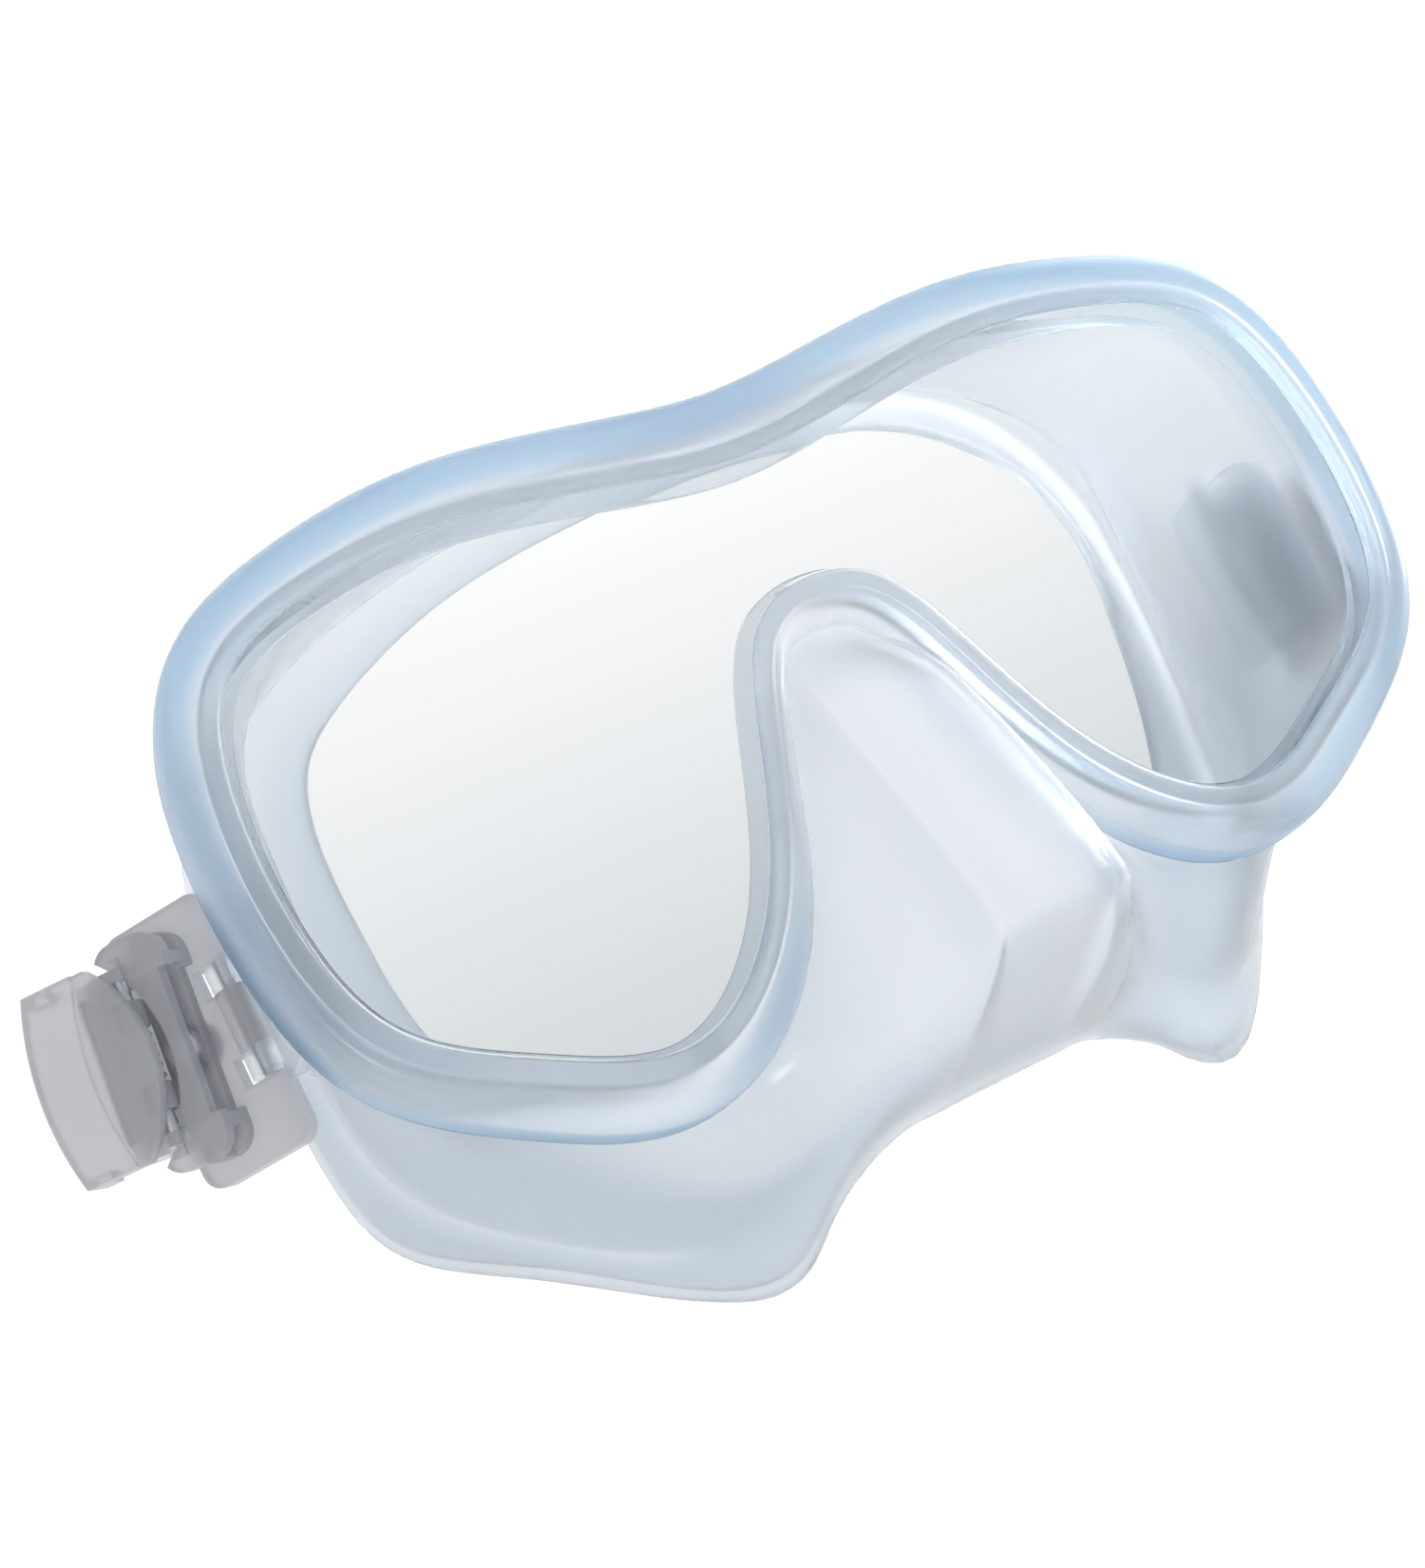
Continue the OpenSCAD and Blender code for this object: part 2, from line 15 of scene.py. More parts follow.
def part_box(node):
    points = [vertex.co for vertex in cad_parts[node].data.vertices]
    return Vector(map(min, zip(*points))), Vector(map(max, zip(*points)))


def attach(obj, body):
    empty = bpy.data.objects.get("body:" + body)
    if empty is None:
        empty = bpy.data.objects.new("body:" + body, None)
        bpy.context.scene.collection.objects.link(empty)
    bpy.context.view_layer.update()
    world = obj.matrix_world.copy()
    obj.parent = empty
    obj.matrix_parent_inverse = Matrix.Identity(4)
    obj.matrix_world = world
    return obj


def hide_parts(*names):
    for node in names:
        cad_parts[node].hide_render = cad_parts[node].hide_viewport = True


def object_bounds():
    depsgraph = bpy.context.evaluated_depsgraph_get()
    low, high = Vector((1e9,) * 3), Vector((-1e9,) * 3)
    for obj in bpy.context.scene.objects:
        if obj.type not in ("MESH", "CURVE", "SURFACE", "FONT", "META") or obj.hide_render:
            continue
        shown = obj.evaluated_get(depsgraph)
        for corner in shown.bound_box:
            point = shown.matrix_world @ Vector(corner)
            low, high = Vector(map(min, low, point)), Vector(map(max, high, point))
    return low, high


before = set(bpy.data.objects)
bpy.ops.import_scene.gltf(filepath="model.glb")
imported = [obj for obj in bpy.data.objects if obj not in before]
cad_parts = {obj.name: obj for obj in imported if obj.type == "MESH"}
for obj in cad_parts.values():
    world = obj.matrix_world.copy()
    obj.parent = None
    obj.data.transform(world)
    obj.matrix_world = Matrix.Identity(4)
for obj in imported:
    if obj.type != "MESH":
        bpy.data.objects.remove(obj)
CAD_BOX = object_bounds()

MM = 0.001
LENS_LOW, LENS_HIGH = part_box("lens")
LENS_FRONT = LENS_LOW.y
LENS_T = (LENS_HIGH.y - LENS_LOW.y) / MM
SIDES = {"right": -1, "left": 1}

# ---- Outlines of the mask ---------------------------------------------------------------------
# Each list runs from the top centre, round the wearer's left side, to the middle of the nose notch,
# with one entry for each of 15 stations. The other half is its mirror image.

# Front outline of the glass: x, z, then the rim's width, its depth, and its width at the neck behind it
GLASS = [(0, 29.2, 10, 6, 6.5), (18, 31.5, 9.6, 6.5, 6), (38, 34.2, 8.8, 7.5, 5), (56, 32.1, 8, 9, 3.6),
         (69.6, 25.6, 7.4, 10, 2.8), (74.8, 11, 6.6, 10, 1.3), (74.4, -6.5, 6.2, 10, 1.2),
         (68.8, -20.2, 6.4, 10, 2.8), (55.6, -29, 7.2, 9.5, 3.6), (40.5, -34.2, 7.4, 9, 4.4),
         (27.2, -26.5, 6.5, 8, 4.6), (19.2, -13.5, 5, 6.5, 4.2), (14.2, -1, 4.5, 5, 4),
         (8.6, 8.6, 5, 4, 4.6), (0, 11.6, 5.5, 4, 5)]
# Middle of the skirt's wall, and the top of the nose pocket: x, distance behind the glass, z
WAIST = [(0, 9, 38.6), (19, 11, 40), (40, 17, 39.8), (58, 22, 35.8), (68.5, 26, 25.5), (71, 27, 11),
         (71, 28, -7), (67, 29, -24), (55.5, 24, -38.5), (40.5, 18, -45.5), (26, 10, -39),
         (15.5, 1, -25), (10.5, -3, -13), (8, -5.8, -8.5), (0, -6.2, -6.5)]
# Where the wall starts to flare, and the tip of the nose pocket
FLARE = [(0, 12.5, 39.6), (20, 16, 40.4), (43, 27, 39.8), (61, 36, 34.5), (70.5, 42, 24.5), (72, 45, 10),
         (71.8, 46, -9), (69, 45, -28), (57.5, 37, -43), (40.5, 27, -53), (25, 14, -48),
         (15.6, 0, -44), (10.8, -10, -42), (8.3, -17.6, -39.8), (0, -18.8, -39.3)]
# Outer edge of the face seal
SEAL = [(0, 16, 41.8), (20, 20, 42.3), (45, 34, 40.5), (63, 46, 34), (72.5, 54, 22), (74, 57, 8),
        (73, 58, -11), (69.5, 58, -32.5), (55.8, 44, -47.5), (36.5, 31, -62), (26, 25, -57.5),
        (15.5, 22, -52.5), (10, 20, -52), (5, 19, -52), (0, 19, -52)]
# Inner edge of the face seal, round the opening for the face
MOUTH = [(0, 16.5, 35.4), (18, 20, 35.4), (36, 28, 34), (50, 36.5, 29.5), (57.5, 40.3, 23), (60, 41, 12),
         (59.5, 43, 0), (57, 45, -15), (48, 44, -34), (34, 38, -48), (24, 33, -50),
         (16, 30, -48.5), (10, 28, -47), (5, 27, -46.5), (0, 27, -46.5)]
STEPS = 14  # points made between two stations
FITS = 8  # rounds of fitting, after which the spline passes through its points
# Thickness of the silicone at the wall, where it flares, and at the seal's inner edge
WALL_T = 2.2
FLARE_T = 1.8
SEAL_T = 1.4


def smoothed(p):
    """The places that a cubic spline with these control points passes through at its stations."""
    return (np.roll(p, 1, 0) + 4 * p + np.roll(p, -1, 0)) / 6


def spline(goal):
    """A cubic spline through a closed list of points."""
    p = goal.copy()
    for _ in range(FITS):
        p = p + goal - smoothed(p)
    u = (np.arange(STEPS) / STEPS)[None, :, None]
    a, b, c, d = (np.roll(p, k, 0)[:, None, :] for k in (1, 0, -1, -2))
    q = (1 - u) ** 3 * a + (3 * u**3 - 6 * u**2 + 4) * b + (-3 * u**3 + 3 * u**2 + 3 * u + 1) * c + u**3 * d
    return q.reshape(-1, goal.shape[1]) / 6


def ring(half):
    """The whole closed ring of a half outline, as points STEPS to a station."""
    half = np.array(half, float)
    other = half[-2:0:-1].copy()
    other[:, 0] *= -1
    return spline(np.vstack([half, other]))


RIM = ring(GLASS)
COUNT = len(RIM)
ALONG = np.roll(RIM[:, :2], -1, 0) - np.roll(RIM[:, :2], 1, 0)
OUTWARD = np.stack([-ALONG[:, 1], ALONG[:, 0]], 1) / np.linalg.norm(ALONG, axis=1)[:, None]


def rim_ring(share, out, deep, back):
    """A ring at a share of the rim's width plus a distance out, and of its depth plus a distance back."""
    at = RIM[:, :2] + OUTWARD * (RIM[:, 2:3] * share + out)
    return np.stack([at[:, 0], RIM[:, 3] * deep + back, at[:, 1]], 1)


def through(rings, steps, bends=1):
    """Rings on smooth curves through the given rings, with steps between each two.

    The speed at a ring is limited by the shorter way to its neighbours, so a curve never loops. It is
    multiplied by bends, one value per inner ring and point: under 1, the bend there is crisper."""
    p = np.array(rings)
    way = np.linalg.norm(np.diff(p, axis=0), axis=2)[:, :, None]
    speed = np.empty_like(p)
    speed[0], speed[-1] = p[1] - p[0], p[-1] - p[-2]
    across = p[2:] - p[:-2]
    across /= np.linalg.norm(across, axis=2)[:, :, None] + 1e-9
    mean = 2 * way[:-1] * way[1:] / (way[:-1] + way[1:] + 1e-9)
    speed[1:-1] = across * np.minimum(mean, 1.3 * np.minimum(way[:-1], way[1:])) * bends
    out = []
    for k in range(len(p) - 1):
        for u in np.arange(steps) / steps:
            out.append((1 + 2 * u) * (1 - u) ** 2 * p[k] + u * (1 - u) ** 2 * speed[k]
                       + u * u * (3 - 2 * u) * p[k + 1] + u * u * (u - 1) * speed[k + 1])
    return [*out, p[-1]]


def unit(v):
    return v / (np.linalg.norm(v, axis=-1, keepdims=True) + 1e-9)


def wall_normals(rows):
    """Unit normals of a stack of rings, away from the space inside the mask."""
    stack = np.array(rows)
    a = np.roll(stack, -1, 1) - np.roll(stack, 1, 1)
    b = np.gradient(stack, axis=0)
    n = np.cross(a, b)
    return n / np.linalg.norm(n, axis=2)[:, :, None]


# ---- Mesh helpers -----------------------------------------------------------------------------
def in_frame(points):
    """Millimetres behind the lens to metres in the row frame."""
    p = np.array(points, float) * MM
    p[:, 1] += LENS_FRONT
    return p


def piece(name, points, faces, body, material, smooth=True):
    """A new mesh piece that rides on a body."""
    mesh = bpy.data.meshes.new(name)
    mesh.from_pydata([tuple(p) for p in points], [], faces)
    mesh.validate()
    mesh.update()
    made = bpy.data.objects.new(name, mesh)
    bpy.context.scene.collection.objects.link(made)
    mesh.materials.append(material)
    if smooth:
        mesh.shade_smooth()
    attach(made, body)
    return made


def loft(rows, closed):
    """Points and faces of a stack of closed rings; a closed stack joins its last ring to its first."""
    stack = np.array(rows)
    k_rows, n = stack.shape[:2]
    faces = []
    for k in range(k_rows if closed else k_rows - 1):
        a, b = k * n, ((k + 1) % k_rows) * n
        faces += [(a + i, a + (i + 1) % n, b + (i + 1) % n, b + i) for i in range(n)]
    return stack.reshape(-1, 3), faces


TINT = "thickness_and_painted_light"


def tinted(made, values):
    """Stores a value from -1 to 1 at each point: under 0 is a greyer wall in painted shade, over 0 a thicker
    one.
    """
    layer = made.data.attributes.new(TINT, "FLOAT", "POINT")
    layer.data.foreach_set("value", np.array(values, np.float32).ravel())


# ---- Materials --------------------------------------------------------------------------------
# Silicone: greyer for painted shade, thin, and thick
SHADED_SILICONE = (0.5, 0.555, 0.6)
THIN_SILICONE = (0.87, 0.9, 0.935)
THICK_SILICONE = (0.37, 0.555, 0.73)
# Heights of the glass between which its painted shade fades, and its colour at each
GLASS_SHADE_HEIGHTS = (-0.034, 0.03)
SHADED_GLASS = (0.64, 0.68, 0.71)
CLEAR = (0.985, 0.995, 0.99)


def material(name):
    made = bpy.data.materials.new(name)
    made.use_nodes = True
    nodes = made.node_tree.nodes
    return made, nodes, made.node_tree.links, nodes["Principled BSDF"]


def noise(nodes, scale, detail):
    """Noise that is fixed to the object."""
    where = nodes.new("ShaderNodeTexCoord")
    made = nodes.new("ShaderNodeTexNoise")
    made.inputs["Scale"].default_value = scale
    made.inputs["Detail"].default_value = detail
    made.id_data.links.new(where.outputs["Object"], made.inputs["Vector"])
    return made


def coloured(nodes, links, shader, factor, low, high):
    """Base colour from low to high with a factor from 0 to 1. Returns the ramp between them."""
    node = nodes.new("ShaderNodeValToRGB")
    ramp = node.color_ramp
    ramp.elements[0].color = (*low, 1)
    ramp.elements[1].color = (*high, 1)
    links.new(factor, node.inputs["Fac"])
    links.new(node.outputs["Color"], shader.inputs["Base Color"])
    return ramp


def roughened(nodes, links, shader, factor, low, high):
    """Roughness from low to high with a factor from 0 to 1."""
    rough = nodes.new("ShaderNodeMapRange")
    rough.inputs["To Min"].default_value = low
    rough.inputs["To Max"].default_value = high
    links.new(factor, rough.inputs["Value"])
    links.new(rough.outputs["Result"], shader.inputs["Roughness"])


def bumped(nodes, links, shader, height, strength, distance):
    bump = nodes.new("ShaderNodeBump")
    bump.inputs["Strength"].default_value = strength
    bump.inputs["Distance"].default_value = distance
    links.new(height, bump.inputs["Height"])
    links.new(bump.outputs["Normal"], shader.inputs["Normal"])


def silicone(name, ior, roughness, solid):
    """Milky silicone: clear enough to show a shape behind it, bluer where the moulding is thick, and greyer
    where shade is painted into it.
    """
    made, nodes, links, shader = material(name)
    tint = nodes.new("ShaderNodeAttribute")
    tint.attribute_name = TINT
    thick = nodes.new("ShaderNodeMapRange")
    thick.inputs["From Min"].default_value = -1
    links.new(tint.outputs["Fac"], thick.inputs["Value"])
    ramp = coloured(nodes, links, shader, thick.outputs["Result"], SHADED_SILICONE, THICK_SILICONE)
    ramp.elements.new(0.5).color = (*THIN_SILICONE, 1)
    shader.inputs["Subsurface Weight"].default_value = 1
    shader.inputs["Subsurface Radius"].default_value = (1, 1.15, 1.3)
    shader.inputs["Subsurface Scale"].default_value = 0.003
    shader.inputs["Transmission Weight"].default_value = 0.9
    shader.inputs["IOR"].default_value = ior
    shader.inputs["Roughness"].default_value = roughness
    shader.inputs["Alpha"].default_value = solid
    shader.inputs["Coat Weight"].default_value = 0.6
    shader.inputs["Coat Roughness"].default_value = 0.22
    grain = noise(nodes, 900, 3)
    bumped(nodes, links, shader, grain.outputs["Fac"], 0.1, 0.0002)
    return made


def glass():
    """Clear glass, greyer towards its lower edge as painted shade."""
    made, nodes, links, shader = material("tempered_glass")
    where = nodes.new("ShaderNodeTexCoord")
    split = nodes.new("ShaderNodeSeparateXYZ")
    links.new(where.outputs["Object"], split.inputs["Vector"])
    height = nodes.new("ShaderNodeMapRange")
    height.inputs["From Min"].default_value, height.inputs["From Max"].default_value = GLASS_SHADE_HEIGHTS
    links.new(split.outputs["Z"], height.inputs["Value"])
    coloured(nodes, links, shader, height.outputs["Result"], SHADED_GLASS, CLEAR)
    shader.inputs["Transmission Weight"].default_value = 1
    shader.inputs["IOR"].default_value = 1.5
    shader.inputs["Roughness"].default_value = 0
    return made


def ground_glass():
    """The ground edge of the glass, bonded to the silicone, so that light crosses it nearly straight."""
    made, nodes, links, shader = material("ground_glass")
    grain = noise(nodes, 2000, 2)
    coloured(nodes, links, shader, grain.outputs["Fac"], (0.93, 0.96, 0.98), (0.98, 1, 1))
    shader.inputs["Transmission Weight"].default_value = 1
    shader.inputs["IOR"].default_value = 1.08
    shader.inputs["Roughness"].default_value = 0.4
    return made


def polycarbonate(name, dull, bright, clear, solid):
    """Clear plastic, greyed and a little cloudy, as it is after moulding."""
    made, nodes, links, shader = material(name)
    cloud = noise(nodes, 120, 3)
    coloured(nodes, links, shader, cloud.outputs["Fac"], dull, bright)
    shader.inputs["Transmission Weight"].default_value = clear
    shader.inputs["IOR"].default_value = 1.3
    shader.inputs["Alpha"].default_value = solid
    roughened(nodes, links, shader, cloud.outputs["Fac"], 0.28, 0.4)
    return made


def steel():
    """Brushed stainless steel."""
    made, nodes, links, shader = material("stainless_steel")
    shader.inputs["Base Color"].default_value = (0.72, 0.72, 0.74, 1)
    shader.inputs["Metallic"].default_value = 1
    brushed = noise(nodes, 1200, 2)
    roughened(nodes, links, shader, brushed.outputs["Fac"], 0.22, 0.4)
    return made


SILICONE = silicone("silicone", 1.15, 0.55, 1)
BONDED_SILICONE = silicone("bonded_silicone", 1.05, 0.25, 1)
PAD_SILICONE = silicone("pad_silicone", 1.05, 0.25, 0.35)
CLEAR_GLASS = glass()
POLYCARBONATE = polycarbonate("clear_polycarbonate", (0.62, 0.62, 0.66), (0.7, 0.7, 0.73), 0.5, 0.85)
BRACKET_PLASTIC = polycarbonate("bracket_plastic", (0.84, 0.9, 0.95), (0.9, 0.94, 0.97), 0.7, 0.5)
GROUND_GLASS = ground_glass()
STEEL = steel()


# ---- Skirt ------------------------------------------------------------------------------------
LIP_STEPS = 3  # rows from one ring of the lip to the next
WALL_STEPS = 9  # rows from one outline of the wall to the next
# Rows of the wall at its neck, where it flares, and at the seal's inner edge, from the rim's shoulder
NECK_ROW, FLARE_ROW, MOUTH_ROW = WALL_STEPS, 3 * WALL_STEPS, 5 * WALL_STEPS
PAINTED_LIGHT_ROWS = 28  # rows of the front that painted light makes paler low down
THICK_AND_SHADED_ROWS = slice(30, 38)  # rows round the rim's side, where the silicone is thickest, made bluer also as painted shade in the crease under it
# The lip over the front of the glass and the round front of the rim, as arguments of rim_ring
LIP = [(0, 0.1, 0, -0.4), (0, 0.4, 0, -0.75), (0, 1.2, 0, -0.95), (0, 2, 0, -0.9), (0, 2.6, 0, -0.75),
       (0.25, 1.4, 0, -0.95), (0.55, 0.4, 0, -1.15), (0.82, -0.2, 0.02, -0.9), (0.96, -0.2, 0.1, -0.2),
       (1, 0, 0.3, 0.1), (1, 0.1, 0.65, 0)]
SHOULDER = (1, 0, 1, -0.5)
SHELF = (0.25, 0, 0.5, 4.1)  # behind the glass, where the inside of the wall begins
GROOVE = 2.5  # depth of the groove that holds the glass
# The seat behind the glass and its groove: out from the glass's outline, and back from its front
SEAT = [(-0.4, LENS_T + 2.6), (-1.3, LENS_T + 1.8), (-1.5, LENS_T + 0.9), (-1.4, LENS_T + 0.1),
        (GROOVE, LENS_T + 0.1), (GROOVE, 1), (0.1, 1)]
RIDGE = 0.35  # height of the moulded edges down the nose pocket
CREASE_DEPTH = 0.5

STATION = np.arange(COUNT) / STEPS
PAST_NOTCH = STATION - (len(GLASS) - 1)
FROM_NOTCH = np.abs(PAST_NOTCH)
ROW = np.arange(MOUTH_ROW + 1)[:, None]


def window(at, start, full, last, end):
    """1 from full to last, fading to 0 at start and at end."""
    return np.interp(at, [start, full, last, end], [0, 1, 1, 0])


def hump(at, middle, width):
    """A soft hump, 1 at its middle."""
    return np.exp(-(((at - middle) / width) ** 2))


# Strength from 0 to 1, by row and point: the crease over each cheek, the two moulded edges down the nose
# pocket, and the painted shade line on the edge on the wearer's left
CREASE = window(FROM_NOTCH, 5, 5.4, 7.6, 8.3) * hump(ROW, FLARE_ROW + 1, 0.9)
DOWN_NOSE = window(ROW, NECK_ROW + 2, NECK_ROW + 6, FLARE_ROW, FLARE_ROW + 3)
NOSE_EDGES = DOWN_NOSE * hump(FROM_NOTCH * STEPS, STEPS, 1.3)
LEFT_EDGE_SHADE = DOWN_NOSE * hump(PAST_NOTCH * STEPS, -0.82 * STEPS, 1.5)


def wall_and_inside():
    """Rings down the outside of the wall to the seal's inner edge, and back up its inside."""
    # The neck lies further behind the rim near the nose
    undercut = np.interp(FROM_NOTCH, [4, 5.5], [2.8, 1.9])
    neck = np.stack([RIM[:, 0] + OUTWARD[:, 0] * RIM[:, 4], RIM[:, 3] + undercut,
                     RIM[:, 1] + OUTWARD[:, 1] * RIM[:, 4]], 1)
    flare, seal, mouth = ring(FLARE), ring(SEAL), ring(MOUTH)
    outlines = [rim_ring(*SHOULDER), neck, ring(WAIST), flare, seal, mouth]
    # The wall bends crisply at the tip of the nose pocket, and softly elsewhere
    bends = np.ones((4, COUNT, 1))
    bends[2, :, 0] = np.interp(FROM_NOTCH, [1.4, 2.6], [0.25, 1])
    wall = through(outlines, WALL_STEPS, bends)
    normals = wall_normals(wall)[WALL_STEPS::WALL_STEPS]
    thickness = (WALL_T, WALL_T, FLARE_T, 0, SEAL_T)
    inner_outlines = [outline - n * t for outline, n, t in zip(outlines[1:], normals, thickness)]
    # At the seal's outer edge the wall turns back, so its inside lies between the two directions
    inner_outlines[3] = seal + unit(unit(flare - seal) + unit(mouth - seal)) * FLARE_T
    inner = through(inner_outlines, WALL_STEPS, bends[1:])[::-1]
    raised = (RIDGE * NOSE_EDGES - CREASE_DEPTH * CREASE)[:, :, None]
    return list(np.array(wall) + wall_normals(wall) * raised), inner


def seat_rings(inside):
    """Rings from the top of the wall's inside, over the shelf and round the groove for the glass."""
    shelf = rim_ring(*SHELF)
    # Deeper where the inside of the wall lies further out than the shelf, so the two never cross
    behind = (inside + shelf) / 2
    behind[:, 1] += 0.35 * np.clip(np.sum((inside - shelf)[:, ::2] * OUTWARD, 1), 0, None)
    return [behind, shelf, *(rim_ring(0, out, 0, back) for out, back in SEAT)]


def skirt_tint(front, inner, seat):
    """The tint of each point: the rim is thick and the wall thin; painted light makes the rim paler low down,
    and painted shade greys the cheeks and the nose tip's underside and darkens the creases.
    """
    # How bulky the rim is, from its width times its depth, and how much paler painted light makes it low down
    bulk = np.clip((RIM[:, 2] * RIM[:, 3] - 22) / 45, 0.08, 1)
    painted_light_below = np.interp(RIM[:, 1], [-32, 5], [0.4, 1])
    # The tint by row, and then how far a row is from the rim, where its bulk counts
    rim_rows = np.interp(np.arange(front), [0, 12, 18, 33], [0.05, 0.15, 0.7, 0.9])
    wall_rows = np.interp(ROW[:, 0], [0, 6, 12, 30, 40, 45], [0.9, 0.5, -0.12, -0.2, 0, 0.35])
    by_row = np.concatenate([rim_rows, wall_rows, np.full(inner + 1, 0.08), np.full(seat, 0.1)])
    plain = np.interp(np.arange(len(by_row)), [front + 1, front + 13], [0, 1])[:, None]
    tint = by_row[:, None] * (bulk * (1 - plain) + plain)
    # Painted light: the front rows paler low down, as if lit from below
    tint[:PAINTED_LIGHT_ROWS] *= painted_light_below
    # A bluer line round the rim's underside: its real thickness, with painted shade in the crease where it
    # meets the wall
    tint[THICK_AND_SHADED_ROWS] += 0.35 * bulk
    # Painted shade: the cheeks greyer and darker, and the nose pocket greyer, most under its tip
    cheek_shade = np.interp(ROW, [9, 13, 27, 29.5, 36, 40], [0, -0.65, -0.65, -0.4, -0.4, 0])
    nose_tip_shade = np.interp(ROW, [8, 12, 26, 28, 34, 38], [0, -0.12, -0.12, -0.3, -0.3, 0])
    cheek_shade = cheek_shade * window(FROM_NOTCH, 3, 4.2, 7.8, 8.6)
    nose_tip_shade = nose_tip_shade * np.interp(FROM_NOTCH, [3, 4.2], [1, 0])
    # Painted shade: bluer, darker lines in the cheek creases and along the nose pocket's left edge, and a
    # little thickness colour on the moulded nose edges
    shade_and_rib_lines = 0.6 * CREASE + 0.1 * NOSE_EDGES + 0.9 * LEFT_EDGE_SHADE
    tint[front:front + len(ROW)] += cheek_shade + nose_tip_shade + shade_and_rib_lines
    return np.clip(tint, -1, 1)


def skirt():
    """The silicone moulding: the rim round the lens, the wall, the nose pocket and the face seal."""
    front = through([*(rim_ring(*at) for at in LIP), rim_ring(*SHOULDER)], LIP_STEPS)[:-1]
    wall, inner = wall_and_inside()
    edge = (wall[-1] + inner[0]) / 2 + unit(wall[-1] - wall[-2]) * SEAL_T / 2
    seat = seat_rings(inner[-1])
    rows = [*front, *wall, edge, *inner, *seat]
    points, faces = loft(rows, closed=True)
    made = piece("skirt_shell", in_frame(points), faces, "mask", SILICONE)
    tinted(made, skirt_tint(len(front), len(inner), len(seat)))
    made.data.materials.append(BONDED_SILICONE)
    for face in made.data.polygons:
        if face.index >= (len(rows) - len(seat)) * COUNT:
            face.material_index = 1
    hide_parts("skirt")
    return made


# ---- Temple pads ------------------------------------------------------------------------------
# The face of a pad: its distance from the middle of the mask, its middle behind the glass, and its height
PAD_X, PAD_Y, PAD_Z = 75, 23.5, -4
PAD_LONG, PAD_HIGH = 16, 22
# Outlines from inside the wall to the face: share of the way out, a distance more, growth, corner, tint
PAD_SECTIONS = [(0, -0.9, 1.8, 4.5, 0.1), (0, 0.02, 1.5, 4.2, 0.5), (0.25, 0.05, 0.6, 3.6, 1),
                (0.6, 0, 0.15, 3.2, 1), (0.88, 0, 0, 3, 1), (0.97, 0, -0.2, 2.8, 0.5), (1, 0, -0.6, 2.6, 0.1)]
BEYOND_X = 0.12  # metres from the middle, beyond the wall, where the rays that find the wall start


def rounded(w, h, r, steps=8):
    """A rectangle with round corners, as points round the origin."""
    out = []
    for sx, sy, start in ((1, 1, 0), (-1, 1, 90), (-1, -1, 180), (1, -1, 270)):
        for k in range(steps + 1):
            a = math.radians(start + 90 * k / steps)
            out.append((sx * (w / 2 - r) + r * math.cos(a), sy * (h / 2 - r) + r * math.sin(a)))
    return out


def temple_pad(side, wall):
    """The raised pad that carries a buckle: it swells out of the wall to a flat face."""
    s = SIDES[side]
    rows = []
    for share, out, grow, corner, _ in PAD_SECTIONS:
        row = []
        for y, z in rounded(PAD_LONG + 2 * grow, PAD_HIGH + 2 * grow, corner):
            start = Vector((s * BEYOND_X, LENS_FRONT + (PAD_Y + y) * MM, (PAD_Z + z) * MM))
            hit = wall.ray_cast(start, Vector((-s, 0, 0)))[0]
            x = abs(hit.x) / MM
            row.append((s * (x + out + (PAD_X - x) * share), PAD_Y + y, PAD_Z + z))
        rows.append(row if s > 0 else row[::-1])
    points, faces = loft(rows, closed=False)
    n = len(rows[0])
    last = (len(rows) - 1) * n
    faces.append(tuple(range(last, last + n)))
    faces.append(tuple(range(n - 1, -1, -1)))
    made = piece(side + "_temple_pad", in_frame(points), faces, "mask", PAD_SILICONE)
    tinted(made, np.repeat([section[-1] for section in PAD_SECTIONS], n))
    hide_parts("skirt")


# ---- Lens -------------------------------------------------------------------------------------
FLANGE = 2.4  # how far the back of the glass reaches into the groove
STEP = 1.1  # depth of the step in front of the flange
GROUND = 0.25  # width of the ground edges


def lens():
    """The tempered lens: flat faces, a flange behind the rim's lip, and ground edges."""
    rows = [rim_ring(0, -GROUND, 0, 0), rim_ring(0, 0, 0, GROUND), rim_ring(0, 0, 0, STEP),
            rim_ring(0, FLANGE - GROUND, 0, STEP), rim_ring(0, FLANGE, 0, STEP + GROUND),
            rim_ring(0, FLANGE, 0, LENS_T - GROUND), rim_ring(0, FLANGE - GROUND, 0, LENS_T)]
    points, faces = loft(rows, closed=False)
    faces.append(tuple(range(COUNT - 1, -1, -1)))
    last = (len(rows) - 1) * COUNT
    faces.append(tuple(range(last, last + COUNT)))
    made = piece("lens_glass", in_frame(points), faces, "mask", CLEAR_GLASS, smooth=False)
    made.data.materials.append(GROUND_GLASS)
    for face in made.data.polygons:
        face.material_index = 1 if len(face.vertices) == 4 else 0
    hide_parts("lens")


# ---- CAD nodes that stay ----------------------------------------------------------------------
STEEL_PARTS = ("hinge_pin", "roller_axle", "lever_pin", "lever_spring")
WELD = 0.002 * MM  # points closer than this are one
ROUND_EDGE = 0.3 * MM
SHARP = math.radians(40)  # edges sharper than this are rounded


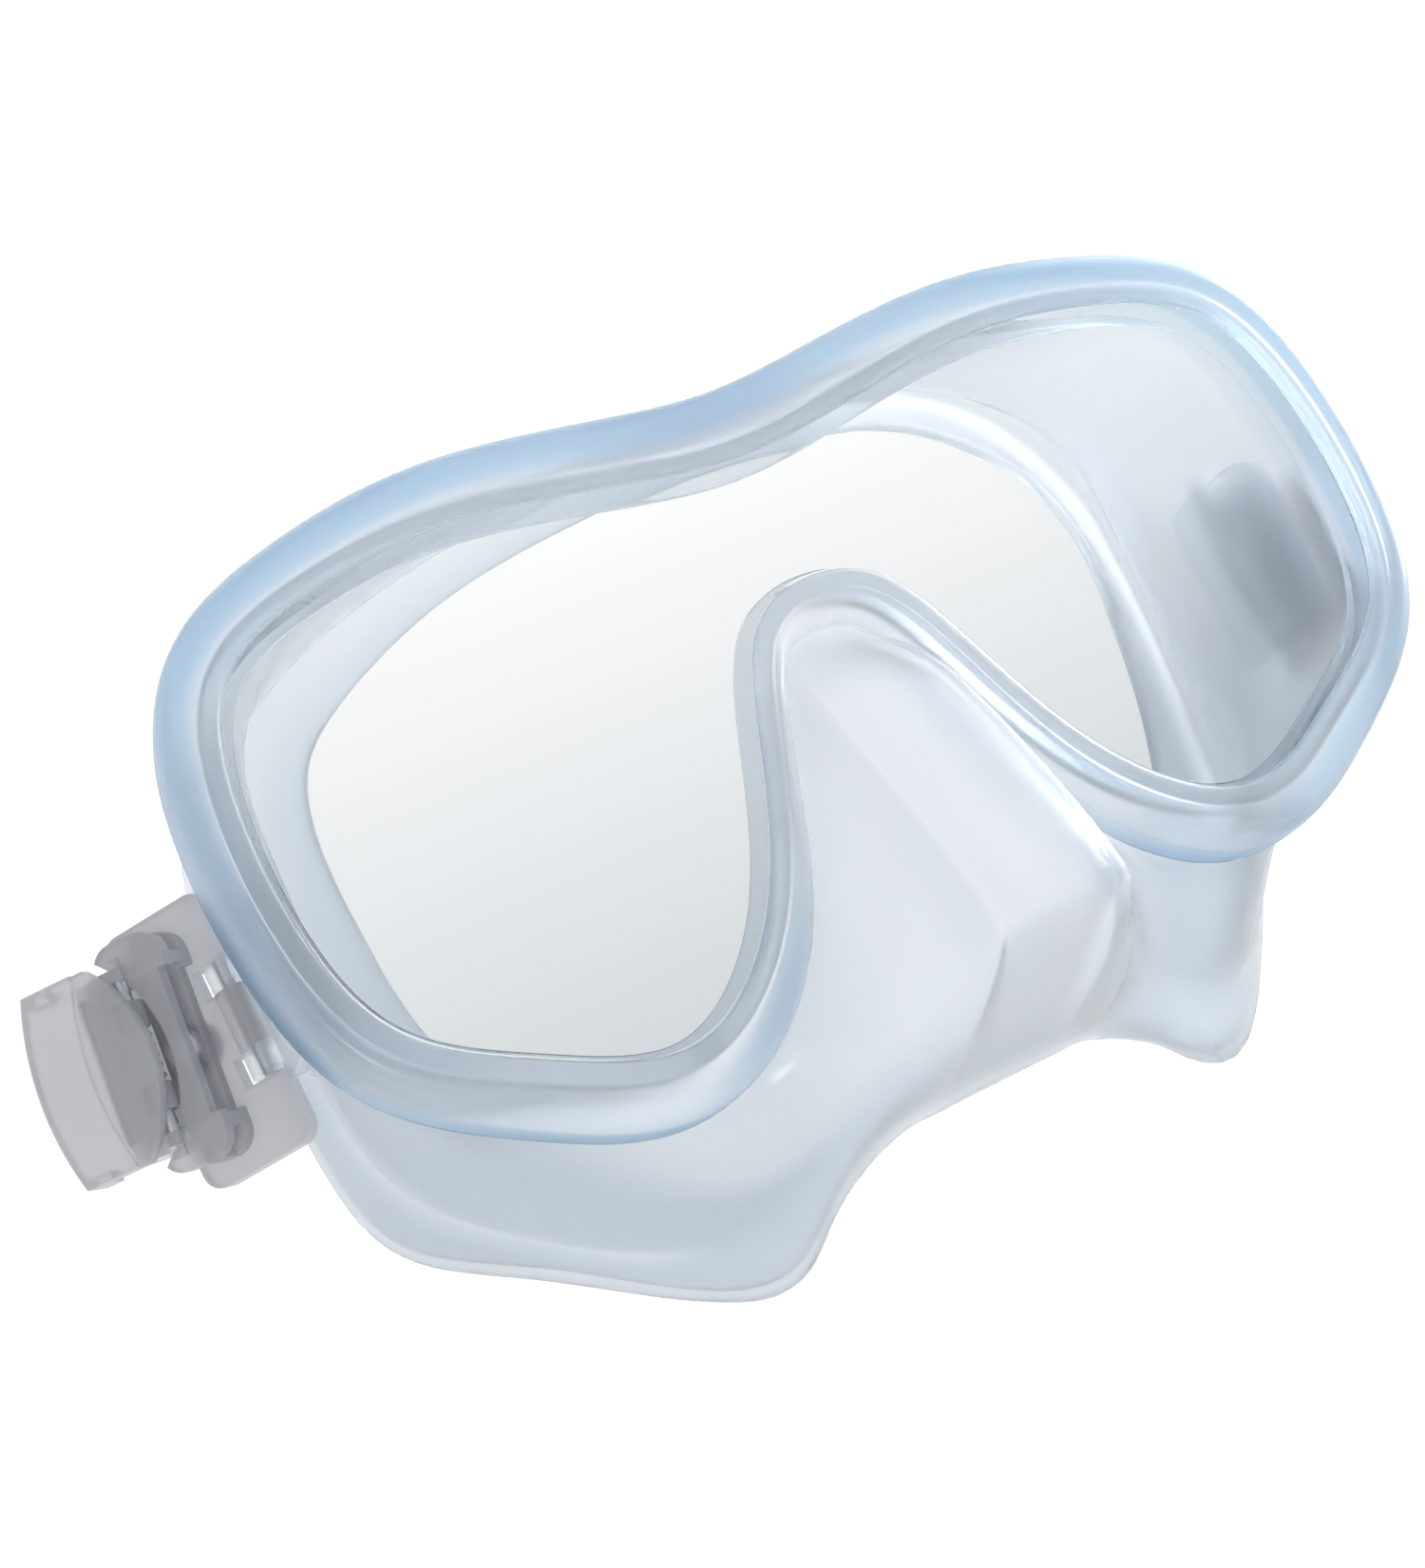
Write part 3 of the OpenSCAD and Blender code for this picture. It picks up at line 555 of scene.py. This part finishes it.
def dress_cad():
    """Steel for pins and springs, and plastic with softly rounded edges for the other parts."""
    for name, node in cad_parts.items():
        if name in ("skirt", "lens"):
            continue
        part = name.split("_", 1)[1]
        node.data.materials.clear()
        plastic = BRACKET_PLASTIC if part == "anchor" else POLYCARBONATE
        node.data.materials.append(STEEL if part in STEEL_PARTS else plastic)
        if part not in STEEL_PARTS:
            weld = node.modifiers.new("weld", "WELD")
            weld.merge_threshold = WELD
            bevel = node.modifiers.new("bevel", "BEVEL")
            bevel.width = ROUND_EDGE
            bevel.segments = 3
            bevel.limit_method = "ANGLE"
            bevel.angle_limit = SHARP
            bevel.harden_normals = True


# ---- Stage, light and camera ------------------------------------------------------------------
HEAD_HEIGHT = 1.6  # the mask hangs this high over the floor, where a face would be
FLOOR_SIZE = 12
# Brightness of the backdrop and of the room, and how many degrees off the line of sight one ends and
# the other begins
BACKDROP, ROOM = 1.05, 0.47
BACKDROP_TO, ROOM_FROM = 60, 125
# Soft lights: name, place, the point it faces, the side of its square, and its power in watts
LIGHTS = [("key_light", (-0.6, -0.5, 0.7), (0, 0, 0), 0.5, 0.6),
          ("far_light", (0.65, -0.1, 0.35), (0.05, 0, 0), 0.6, 3),
          ("side_light", (0.28, -0.08, 0.05), (0.08, 0, 0), 0.15, 1.1),
          ("top_light", (0.1, 0.25, 0.8), (0, 0, 0), 0.6, 0.5),
          ("front_light", (-0.25, -0.4, -0.12), (-0.02, 0, 0), 0.08, 0.3)]
# The camera: its place, its sensor and focal length in millimetres, and its turn to the wearer's left,
# its tilt up and its roll in degrees
EYE = (-0.12372, -0.29649, -0.06432)
SENSOR, FOCAL = 36, 54.545
HEADING, PITCH, ROLL = 21.687, 11.849, -27.755
LOOKING = (Matrix.Rotation(math.radians(-HEADING), 3, "Z")
           @ Matrix.Rotation(math.radians(90 + PITCH), 3, "X")
           @ Matrix.Rotation(math.radians(ROLL), 3, "Z"))


def stage():
    """A plain pale floor."""
    bpy.ops.mesh.primitive_plane_add(size=FLOOR_SIZE, location=(0, 0, CAD_BOX[0].z - HEAD_HEIGHT))
    floor = bpy.context.object
    floor.name = "stage_floor"
    made, nodes, links, shader = material("pale_floor")
    shader.inputs["Base Color"].default_value = (0.99, 0.99, 0.99, 1)
    shader.inputs["Roughness"].default_value = 0.9
    shader.inputs["Specular IOR Level"].default_value = 0.1
    floor.data.materials.append(made)


def softbox(name, at, aim, size, power):
    """A square light that faces a point."""
    light = bpy.data.lights.new(name, "AREA")
    light.shape = "SQUARE"
    light.size = size
    light.energy = power
    made = bpy.data.objects.new(name, light)
    made.location = at
    made.rotation_mode = "QUATERNION"
    made.rotation_quaternion = (Vector(aim) - Vector(at)).to_track_quat("-Z", "Y")
    bpy.context.scene.collection.objects.link(made)


def lights():
    """A white backdrop behind the mask, a dimmer room round it, and soft lights."""
    world = bpy.data.worlds.new("studio")
    bpy.context.scene.world = world
    world.use_nodes = True
    nodes, links = world.node_tree.nodes, world.node_tree.links
    where = nodes.new("ShaderNodeTexCoord")
    facing = nodes.new("ShaderNodeVectorMath")
    facing.operation = "DOT_PRODUCT"
    facing.inputs[1].default_value = LOOKING @ Vector((0, 0, -1))
    level = nodes.new("ShaderNodeMapRange")
    level.interpolation_type = "SMOOTHSTEP"
    level.inputs["From Min"].default_value = math.cos(math.radians(ROOM_FROM))
    level.inputs["From Max"].default_value = math.cos(math.radians(BACKDROP_TO))
    level.inputs["To Min"].default_value = ROOM
    level.inputs["To Max"].default_value = BACKDROP
    links.new(where.outputs["Generated"], facing.inputs[0])
    links.new(facing.outputs["Value"], level.inputs["Value"])
    links.new(level.outputs["Result"], nodes["Background"].inputs["Strength"])
    nodes["Background"].inputs["Color"].default_value = (1, 1, 1, 1)
    for light in LIGHTS:
        softbox(*light)


def camera():
    """The camera, placed by solving for the view in which the flat, symmetric lens looks as it does."""
    data = bpy.data.cameras.new("camera")
    data.sensor_width = SENSOR
    data.lens = FOCAL
    data.clip_start, data.clip_end = 0.01, 50
    made = bpy.data.objects.new("camera", data)
    made.matrix_world = Matrix.Translation(EYE) @ LOOKING.to_4x4()
    bpy.context.scene.collection.objects.link(made)
    bpy.context.scene.camera = made


shell = skirt().data
corners = [tuple(face.vertices) for face in shell.polygons]
wall_tree = BVHTree.FromPolygons([point.co for point in shell.vertices], corners)
for side in SIDES:
    temple_pad(side, wall_tree)
lens()
dress_cad()
stage()
lights()
camera()
bpy.context.scene.view_settings.view_transform = "Standard"
